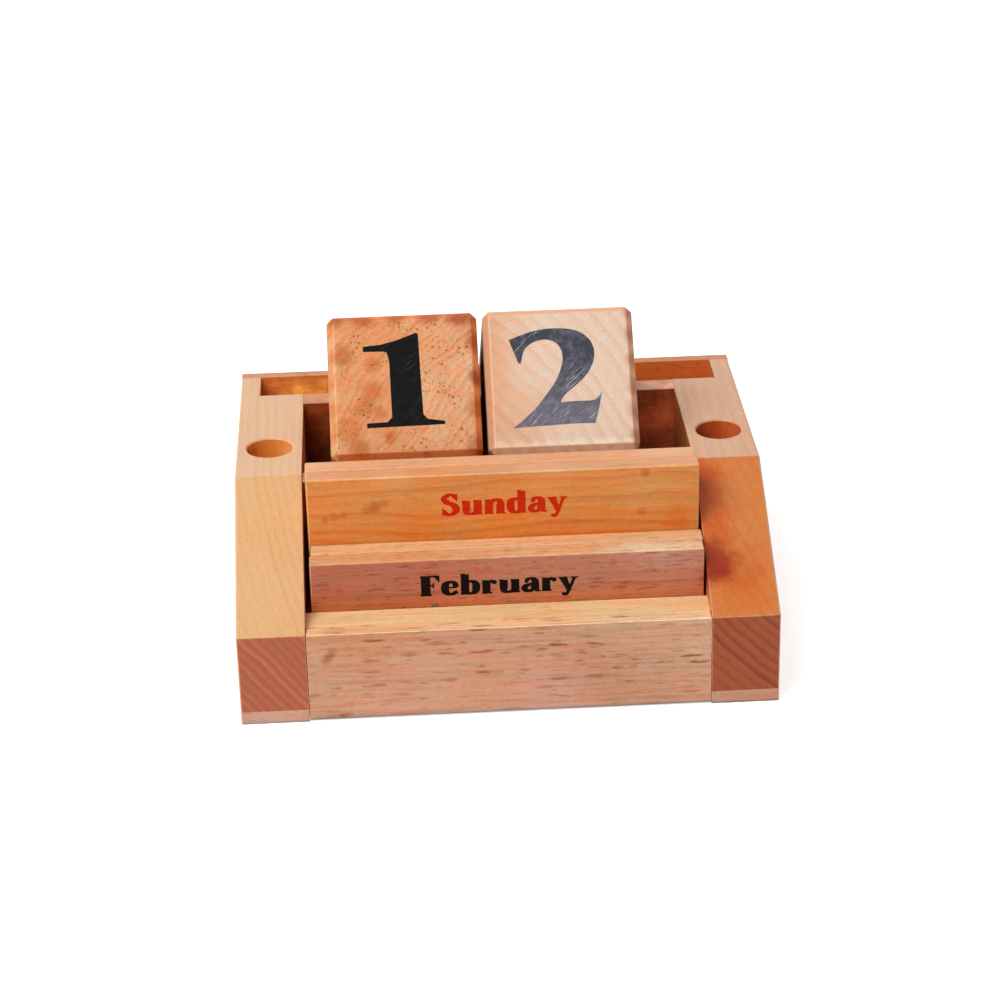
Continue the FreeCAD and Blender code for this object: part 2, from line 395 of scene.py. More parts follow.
def makeEdgeWearAndHighlight():
    # how far the surface turns away from the block's own six faces and one slanted face
    inputs = {"Normal": (0, 0, 0), "Point": (0, 0, 0), "Slant": (0, 0, 1), "Uneven": 0.5}
    tree, given, out = startGroup("edgeWearAndHighlight", inputs, {"Mask": 0, "Highlight Rim": 0})
    # the mask picks rounded edges for an edge colour that is partly wear and partly painted highlight
    away = axesOf(tree, calcVector(tree, "ABSOLUTE", given["Normal"]))
    most = calc(tree, "MAXIMUM", calc(tree, "MAXIMUM", away[0], away[1]), away[2])
    most = calc(tree, "MAXIMUM", most, calcVector(tree, "DOT_PRODUCT", given["Normal"], given["Slant"]))
    rub = ramp(tree, noise(tree, given["Point"], *edges["rub"])["Fac"], *edges["rubRamp"])
    keep = calc(tree, "SUBTRACT", 1.0, times(tree, rub, given["Uneven"]))
    # the rim is a thin painted highlight line along the border of a rounded edge
    rim = times(tree, ramp(tree, most, *edges["highlightRimRise"]), ramp(tree, most, *edges["highlightRimFall"]))
    turned = ramp(tree, most, *edges["turned"])
    for value, socket in zip((turned, rim), out):
        tree.links.new(times(tree, value, keep), socket)
    return tree


solidBeech = makeSolidBeech()
edgeWearAndHighlight = makeEdgeWearAndHighlight()

# what every board, plate and cube shares, unless its own look says otherwise
plainBeech = {
    "turns": [],  # degrees from the object's axes to the grain's
    "slant": (0, 0, 1),
    # rounded edges take this colour, partly as wear and partly as painted highlight
    "edge": (222, 165, 120),
    "edgeAmount": 0.5,
    "edgeUneven": 0.5,
    # rim: the colour of a thin painted highlight line along rounded edges
    "rim": (250, 220, 190),
    "highlightRimAmount": 0.0,
    "shine": 0.28,
    "clouds": [],  # x, y, z and radius in millimetres, then the tint
}
boards = {
    "slopeTurn": (0.97, 0.995),
    "spareTurn": (0.62, 0.35),
    "boreRamp": (0.00012, 0.00004),  # past the bore's radius
    "boreMix": 0.75,
    "puff": (200.0, 4.0, 0.65),  # scale, detail and roughness of a cloud's border
    "puffCore": 0.3,  # full tint inside this share of a cloud's radius
    "bump": (0.25, 0.0002),
    "coat": (0.06, 0.3),
}


def stainsAndPaintedLight(tree, place, color, clouds):
    # soft tinted clouds with hazy borders: some are real marks and tone, others painted light and shade
    puff = noise(tree, place, *boards["puff"])["Color"]
    puff = calcVector(tree, "SUBTRACT", puff, (0.5, 0.5, 0.5))
    for *spot, red, green, blue in clouds:
        x, y, z, radius = (value / 1000 for value in spot)
        hazy = calcVector(tree, "MULTIPLY_ADD", puff, (radius, radius, radius), place)
        away = calcVector(tree, "LENGTH", calcVector(tree, "SUBTRACT", hazy, (x, y, z)))
        cover = ramp(tree, away, radius, radius * boards["puffCore"])
        color = tintColor(tree, cover, color, (red, green, blue, 1))
    return color


def beech(name, look):
    look = plainBeech | look
    material, tree = startMaterial(name)
    where = put(tree, "TexCoord").outputs
    place = where["Object"]
    point = turnVector(tree, place, look["turns"])
    normal = turnVector(tree, where["Normal"], look["turns"], "VECTOR")
    wood = put(tree, "Group", {"Point": point, "Normal": normal}, node_tree=solidBeech)
    for label, value in look["wood"].items():
        wood.inputs[label].default_value = linear(*value) if label in ("Face", "Side", "End") else value
    color = wood.outputs["Color"]

    if "slope" in look:  # the slanted face has its own tint
        lean = calcVector(tree, "DOT_PRODUCT", normal, look["slant"])
        color = tintColor(tree, ramp(tree, lean, *boards["slopeTurn"]), color, look["slope"])
    if "foot" in look:  # a tint that comes in between two heights
        top, bottom, tint = look["foot"]
        color = tintColor(tree, ramp(tree, axesOf(tree, place)[2], top, bottom), color, tint)

    wearAndHighlight = {"Normal": normal, "Point": point, "Slant": look["slant"], "Uneven": look["edgeUneven"]}
    wearAndHighlight = put(tree, "Group", node_tree=edgeWearAndHighlight, inputs=wearAndHighlight).outputs
    wornAndLit = times(tree, wearAndHighlight["Mask"], look["edgeAmount"])
    if "spare" in look:  # edges that face this way get neither wear nor painted highlight
        side = calcVector(tree, "DOT_PRODUCT", normal, look["spare"])
        wornAndLit = times(tree, wornAndLit, ramp(tree, side, *boards["spareTurn"]))
    # edges take the edge colour: partly wear, partly painted highlight
    color = blendColor(tree, wornAndLit, color, linear(*look["edge"]))
    # a thin painted highlight line along the rounded edges
    rim = times(tree, wearAndHighlight["Highlight Rim"], look["highlightRimAmount"])
    color = blendColor(tree, rim, color, linear(*look["rim"]))

    if "bore" in look:
        x, y, radius = look["bore"]
        across = timesVector(tree, calcVector(tree, "SUBTRACT", place, (x, y, 0)), (1, 1, 0))
        reach = (radius + past for past in boards["boreRamp"])
        inside = ramp(tree, calcVector(tree, "LENGTH", across), *reach)
        inside = times(tree, inside, boards["boreMix"])
        color = blendColor(tree, inside, color, linear(*look["boreColor"]))

    if look["clouds"]:
        color = stainsAndPaintedLight(tree, place, color, look["clouds"])
    coat, coatRough = boards["coat"]
    closeMaterial(tree, {
        "Base Color": color, "Roughness": wood.outputs["Roughness"],
        "Normal": bumps(tree, wood.outputs["Height"], *boards["bump"]),
        "Specular IOR Level": look["shine"], "Coat Weight": coat, "Coat Roughness": coatRough})
    return material


def dress(names, material):
    for name in names:
        slots = nodes[name].data.materials
        slots.clear()
        slots.append(material)


# along a side edge of a leaning cube's front face: y and z in millimetres
cubeEdge = [(-15, 62), (-10, 67.8), (-5, 73.5), (0, 79.3), (5, 85), (10, 90.8)]

# along the lower edge of the right cube's front face: x in millimetres
lowerEdge = [1, 5.5, 10, 14.5, 19, 23.5, 28, 32.5, 37]

drawerWood = {
    "Face": (222, 165, 120), "Side": (230, 178, 135), "End": (190, 115, 80),
    "Pith Z": -50, "Rings": 0.25, "Flecks": 0.4}
monthWood = {
    "End": (222, 150, 110), "Line": (0.72, 0.52, 0.48, 1), "Fleck": (0.6, 0.36, 0.3, 1),
    "Pith Y": -90, "Ring Gap": 2.6, "Flecks": 0.6}
cheekLook = {"turns": [(0, 0, -90)], "slant": (-0.506, 0, 0.862)}
cubeLook = {"turns": [(41, 0, 0), (0, 0, -90)], "spare": (0, 1, 0), "shine": 0.18}

beechLooks = {
    "baseBeech": dict(
        nodes=["base_board"],
        # painted contact shade: the bottom millimetre turns darker and blue-grey
        foot=(0.001, 0.0003, (0.55, 0.75, 1, 1)),
        edge=(232, 190, 150),
        wood={"Face": (210, 164, 140), "Side": (222, 165, 130), "End": (190, 115, 85), "Seed": 1,
            "Pith Y": 20, "Pith Z": -90, "Rings": 0.25},
        clouds=[(-66, -60.8, 3.5, 14, 1.04, 1.18, 1.32), (66, -60.8, 3.5, 14, 0.96, 0.9, 0.82)],
    ),
    "leftCheekBeech": dict(
        cheekLook,
        nodes=["left_cheek"],
        slope=(0.98, 0.89, 0.7, 1),
        bore=(-0.0655, 0.0048, 0.0066),
        boreColor=(255, 164, 70),
        edge=(240, 196, 150),
        wood={"Face": (226, 160, 110), "Side": (222, 184, 145), "End": (178, 96, 66), "Seed": 2,
            "End Line": (1.42, 1.62, 1.75, 1), "Pith Y": -17, "Pith Z": 80, "Ring Gap": 2.4, "Flecks": 0.1,
            "Dashes": 0, "Fibres": 0.25, "End Rings": 0.9, "Patches": 0.3, "Mottle": 0.25, "Speckle": 0.05},
        # painted shade on the pen hole's left wall and painted light on its right wall
        clouds=[(-71.2, 6, 49, 6.2, 0.5, 0.26, 0.22), (-60, 7, 50, 5, 1.05, 1.3, 1.7)],
    ),
    "rightCheekBeech": dict(
        cheekLook,
        nodes=["right_cheek"],
        slope=(0.97, 0.55, 0.21, 1),
        bore=(0.0655, 0.0048, 0.0066),
        boreColor=(216, 98, 42),
        edge=(232, 180, 130),
        wood={"Face": (206, 128, 80), "Side": (214, 169, 136), "End": (171, 84, 46), "Seed": 3,
            "End Line": (0.62, 0.42, 0.3, 1), "Pith Y": -138, "Pith Z": 94, "Ring Gap": 2.9, "Flecks": 0.1,
            "Dashes": 0, "Fibres": 0.35, "End Rings": 0.95, "Patches": 0.4, "Mottle": 0.25,
            "Speckle": 0.06},
        # painted shade: the first cloud darkens the pen hole's left wall, the rest are painted shadow on the
        # slope beside and in front of the plates' right ends
        clouds=[(60, 8, 49, 6, 0.62, 0.42, 0.4), (57, -21, 50, 11, 0.98, 0.54, 0.34),
            (58, -31, 44, 9, 1.02, 0.74, 0.54), (58, -45, 36.2, 10, 0.56, 0.19, 0.08),
            (59, -49, 33.8, 6, 0.84, 0.6, 0.42), (59, -37, 40.5, 8, 0.9, 0.66, 0.5),
            (64, -47, 35, 12, 0.94, 0.76, 0.6), (65, -54, 31, 12, 1, 0.84, 0.6)],
    ),
    "railBeech": dict(
        nodes=["front_rail"],
        edge=(240, 200, 150),
        wood={"Face": (214, 150, 105), "Side": (238, 206, 156), "End": (190, 115, 80), "Seed": 4,
            "Pith Y": 15, "Pith Z": -120, "Ring Gap": 3, "Rings": 0.4, "Wander": 14, "Flecks": 0.4,
            "Dashes": 0.35, "Fibres": 0.35},
    ),
    "shelfBeech": dict(
        nodes=["shelf_board", "trough_partition", "slot_divider"],
        edge=(232, 180, 140),
        # the dark face colour is partly the wood's own and partly painted shade in the wells
        wood={"Face": (172, 92, 46), "Side": (215, 153, 117), "End": (180, 105, 70), "Seed": 5,
            "Pith Y": 40, "Pith Z": -80, "Rings": 0.25, "Flecks": 0.4, "Fibres": 0.35},
        # the clouds paint shade into the left well and light into the right well, and darken the tops a
        # little at both ends
        clouds=[(-56, 20, 36, 30, 0.3, 0.24, 0.4), (-52, 39, 54, 18, 1, 0.9, 0.8),
            (52, 41, 53.5, 18, 0.88, 0.8, 0.76), (56, 20, 36, 34, 2.3, 2.6, 3.8),
            (50, 35.8, 44.5, 8.5, 1.6, 1.75, 2.2)],
    ),
    "rearBeech": dict(
        nodes=["rear_board"],
        slant=(0, 1, 0),
        slope=(0.8, 1.25, 2.3, 1),
        edge=(232, 180, 140),
        wood={"Face": (243, 140, 72), "Side": (206, 142, 94), "End": (180, 105, 70), "Seed": 6,
            "Pith Y": 90, "Pith Z": -60, "Flecks": 0.45, "Fibres": 0.35},
        # the clouds paint shade over the right of the board and painted light into the left end of the slot's
        # rear wall
        clouds=[(40, 58.8, 54.2, 45, 0.93, 0.76, 0.62), (-56, 58.8, 56, 8, 0.94, 0.92, 0.84)]
        + [(x, 50.8, 49, 10, 1.5, 2.1, 1.7) for x in (-60, -54, -48, -42)],
    ),
    "frontBeech": dict(
        nodes=["drawer_front"],
        # painted contact shade: the bottom of the front turns darker and blue-grey
        foot=(0.0018, 0.0006, (0.45, 0.72, 1.15, 1)),
        spare=(-1, 0, 0),
        # the near-white edge colour paints a highlight along the rounded edges
        edge=(255, 232, 196),
        edgeAmount=0.85,
        wood={"Face": (218, 166, 134), "Side": (243, 203, 160), "End": (190, 115, 80),
            "Fleck": (0.52, 0.3, 0.22, 1), "Seed": 7, "Pith Y": -70, "Pith Z": -40, "Flecks": 0.8,
            "Dashes": 1.2, "Clusters": 0.45, "Fibres": 0.7, "Patches": 0.45, "Mottle": 0.45, "Fine": 0.78},
        clouds=[(-50.8, -60.8, 18.8, 1.9, 0.8, 0.68, 0.56), (-49.8, -60.8, 20.4, 1.9, 0.76, 0.62, 0.5),
            (-48.8, -60.8, 22, 1.7, 0.8, 0.68, 0.56), (45, -58, 27.2, 30, 1.1, 1.24, 1.38),
            (-40, -58, 27.2, 20, 1, 0.95, 0.86), (-30, -60.8, 5, 22, 1.04, 1.08, 1.2),
            (35, -60.8, 14, 24, 0.9, 0.86, 0.82), (12, -60.8, 4, 18, 1.02, 1.02, 1.18)],
    ),
    "drawerBeech": dict(
        nodes=["drawer_back", "drawer_bottom"],
        wood=drawerWood | {"Seed": 8, "Pith Y": 30},
    ),
    "drawerSideBeech": dict(
        nodes=["drawer_side_left", "drawer_side_right"],
        turns=[(0, 0, -90)],
        wood=drawerWood | {"Seed": 9, "Pith Y": 90},
    ),
    "monthPlateBeech1": dict(
        nodes=["month_plate_1"],
        # painted contact shade: warmer, more orange at the foot of the face
        foot=(0.033, 0.028, (1.12, 1, 0.72, 1)),
        edge=(244, 192, 140),
        wood=monthWood | {"Face": (199, 130, 102), "Side": (226, 184, 140), "Seed": 11, "Pith Z": -20,
            "Rings": 0.35, "Dashes": 0.7, "Fibres": 0.45, "Mottle": 0.6},
        # the first cloud darkens the left half; the paler, bluer clouds at the right of the top are painted
        # sheen
        clouds=[(-40, -44, 41.7, 42, 0.92, 0.8, 0.74), (45, -44, 41.7, 16, 1.05, 1.16, 1.28),
            (40, -44, 52, 24, 1.05, 1.26, 1.46)],
    ),
    "monthPlateBeech2": dict(
        nodes=["month_plate_2", "month_plate_3"],
        edge=(244, 192, 140),
        wood=monthWood | {"Face": (200, 124, 82), "Side": (228, 185, 138), "Seed": 12, "Pith Z": 80,
            "Fibres": 0.4},
    ),
    "dayPlateBeech1": dict(
        nodes=["day_plate_1"],
        edge=(246, 200, 140),
        wood={"Face": (229, 151, 78), "Side": (220, 163, 120), "End": (230, 165, 120),
            "Line": (0.82, 0.6, 0.44, 1), "Fleck": (0.7, 0.45, 0.3, 1), "Patch": (1, 0.84, 0.66, 1),
            "Seed": 13, "Pith Y": -60, "Pith Z": 0, "Ring Gap": 3.2, "Rings": 0.6, "Wander": 16,
            "Flecks": 0.25, "Dashes": 0.25, "Fibres": 0.35, "Mottle": 0.7},
        # small dark marks, warmer patches low on the face, and at the top edge two paler, bluer clouds that
        # are painted sheen
        clouds=[(-38, -34.6, 51.7, 2, 0.84, 0.66, 0.48), (-35.6, -34.6, 52.6, 2.4, 0.74, 0.54, 0.36),
            (-33, -34.6, 53.5, 1.8, 0.84, 0.66, 0.48), (-49.5, -34.6, 49.2, 1.8, 0.84, 0.68, 0.5),
            (-46.8, -34.6, 50, 1.8, 0.84, 0.68, 0.5), (-44.2, -34.6, 50.7, 1.6, 0.86, 0.7, 0.52),
            (40, -34.6, 59.8, 1.8, 0.8, 0.64, 0.46), (39, -34.6, 47.8, 2, 0.84, 0.66, 0.46),
            (-22, -34.6, 45.5, 12, 1.02, 0.9, 0.62), (0, -34.6, 45, 12, 1.06, 0.95, 0.66),
            (49, -34.6, 45.5, 6, 1, 0.8, 0.5), (12, -34.6, 62, 11, 1.04, 1.16, 1.36),
            (-30, -34.6, 62, 9, 1.04, 1.12, 1.26), (40, -34.6, 54, 9, 1.02, 1.08, 1.15)],
    ),
    "dayPlateBeech2": dict(
        nodes=["day_plate_2"],
        edge=(244, 196, 144),
        wood={"Face": (218, 144, 88), "Side": (230, 176, 136), "End": (230, 165, 120),
            "Fleck": (0.7, 0.45, 0.3, 1), "Seed": 14, "Pith Y": -50, "Pith Z": 10, "Ring Gap": 3,
            "Rings": 0.35, "Wander": 7, "Flecks": 0.3, "Fibres": 0.35},
    ),
    "leftCubeBeech": dict(
        cubeLook,
        nodes=["number_cube_left"],
        edge=(238, 132, 62),
        edgeAmount=0.95,
        edgeUneven=0.45,
        rim=(246, 200, 160),
        highlightRimAmount=0.35,
        wood={"Face": (214, 134, 80), "Side": (214, 134, 80), "End": (218, 143, 90),
            "Line": (0.86, 0.66, 0.52, 1), "Fleck": (0.56, 0.32, 0.18, 1), "Patch": (1.05, 1.32, 1.6, 1),
            "Seed": 15, "Pale": (1.04, 1.34, 1.8, 1), "Pale From": 42, "Pale To": 6,
            "End Line": (0.86, 0.68, 0.6, 1), "Pith Y": -69, "Pith Z": -19, "Ring Gap": 2,
            "End Rings": 0.8, "Wander": 10, "Flecks": 0.7, "Dashes": 1.1, "Clusters": 0.8, "Patches": 0.9,
            "Mottle": 0.7, "Fibres": 0.35, "Speckle": 0.16, "Fine": 0.9},
        # a worn stain along the top edge, mottling on the face, and down the right bevel a darkening that is
        # partly wear and partly painted shade
        clouds=[(-45, 10.8, 91.8, 5.2, 0.6, 0.34, 0.22), (-37, 11.2, 91.8, 5.8, 0.62, 0.38, 0.26),
            (-27.5, 11.5, 92.2, 5.2, 0.64, 0.42, 0.31), (-18, 11.2, 92.2, 5.6, 0.6, 0.35, 0.25),
            (-8.5, 10.5, 91.5, 6.2, 0.56, 0.29, 0.21), (-43.2, 3.2, 82.9, 5, 0.78, 0.6, 0.44),
            (-35.2, -4.3, 74.3, 5, 0.84, 0.66, 0.46), (-38, -7.5, 70.6, 4.2, 0.84, 0.66, 0.46),
            (-33, -8.2, 69.8, 3, 0.82, 0.62, 0.42), (-42, -11.9, 65.6, 6, 0.86, 0.68, 0.5),
            (-39, -15, 61.5, 4, 0.74, 0.52, 0.34), (-30, -13, 64, 3, 0.8, 0.6, 0.4),
            (-34.5, 1, 80.5, 3.4, 0.84, 0.64, 0.44), (-34.8, -17.6, 59.2, 2, 0.5, 0.26, 0.2),
            (-20, -17.6, 59.2, 2.6, 0.74, 0.52, 0.4), (-4.6, -16.2, 60.6, 6, 0.7, 0.46, 0.36),
            (-4.6, -8, 70, 5, 0.74, 0.5, 0.38), (-4.4, -2, 77, 4, 0.52, 0.32, 0.26),
            (-4.4, 5, 85, 5, 0.62, 0.38, 0.3)]
        # painted highlight down the left bevel
        + [(-47.4, y, z, 4.4, 1.04, 1.4, 1.8) for y, z in cubeEdge],
    ),
    "rightCubeBeech": dict(
        cubeLook,
        nodes=["number_cube_right"],
        edge=(232, 168, 128),
        edgeAmount=0.85,
        edgeUneven=0.3,
        rim=(250, 226, 200),
        highlightRimAmount=0.3,
        wood={"Face": (206, 152, 116), "Side": (206, 152, 116), "End": (223, 169, 131),
            "Line": (0.9, 0.76, 0.68, 1), "Fleck": (0.8, 0.6, 0.5, 1), "Patch": (1, 1.05, 1.12, 1),
            "Seed": 16, "Pale": (1.07, 1.5, 2.05, 1), "Pale From": 4, "Pale To": -16,
            "End Line": (0.93, 0.8, 0.74, 1), "Pith Y": 76, "Pith Z": -19, "Ring Gap": 3.9,
            "End Rings": 0.8, "Wander": 5, "Flecks": 0.2, "Dashes": 0.1, "Mottle": 0.25, "Fibres": 0.12,
            "Speckle": 0.12},
        # painted shade down the right edge
        clouds=[(40.8, y, z, 4.2, 0.74, 0.55, 0.45) for y, z in cubeEdge]
        + [(x, -16.5, 59, 4.5, 1.22, 1.38, 1.45) for x in lowerEdge],
    ),
}

for label, look in beechLooks.items():
    dress(look["nodes"], beech(label, look))


# Steel of the base screws.

screwLook = {
    "bright": (0.62, 0.60, 0.56, 1),
    "dull": (0.42, 0.39, 0.34, 1),
    "dullRamp": (0.4, 0.7),
    "grit": (900.0, 4.0),
    "rough": (0.2, 0.22),  # how much it varies, and at least
    "bump": (0.15, 0.0001),
}


def makeScrewSteel(look):
    material, tree = startMaterial("screwSteel")
    grit = noise(tree, put(tree, "TexCoord").outputs["Object"], *look["grit"])["Fac"]
    closeMaterial(tree, {
        "Base Color": blendColor(tree, ramp(tree, grit, *look["dullRamp"]), look["bright"], look["dull"]),
        "Metallic": 1.0, "Roughness": calc(tree, "MULTIPLY_ADD", grit, *look["rough"]),
        "Normal": bumps(tree, grit, *look["bump"])})
    return material


dress(["base_screws"], makeScrewSteel(screwLook))
print("stage 3: beech and steel")


# Letters, drawn with a broad pen on a cap height of 1. Each text gives the letter's width
# and its strokes: "line" and "curve" follow points (x, y, pen share), "ring" closes its
# curve, "bar" is a slab between two corners, "disc" a dot (x, y, radius), "shape" an
# outline with straight sides and "outline" a smooth one, where a third number marks a
# sharp corner.

pen = {
    "wide": 0.165,  # half the width of an upright stroke
    "thin": 0.058,  # half the width of a level stroke
    "leastShare": 0.55,
    "gap": 0.03,  # between letters
    "steps": 5,  # to each stretch of a curve
    "bend": (0.85, 0.1),  # share of a bend's radius that its inner edge may fill, and least bend
    "discSides": 20,
    "weld": 1e-5,
    "thick": 0.00006,  # metres, of which the next figure is sunk into the wood
    "sunk": 0.00002,
}

# strokes that several letters share
bowl = "curve .56 .56 .5, .42 .655 .9, .22 .58 1, .15 .35 1, .22 .12 1, .4 .045 1, .56 .14 .6"
arch = "curve .22 .48 .5, .36 .61 .8, .52 .64 1, .63 .54 1, .65 .38 1, .65 0 1; bar .47 0 .86 .07"

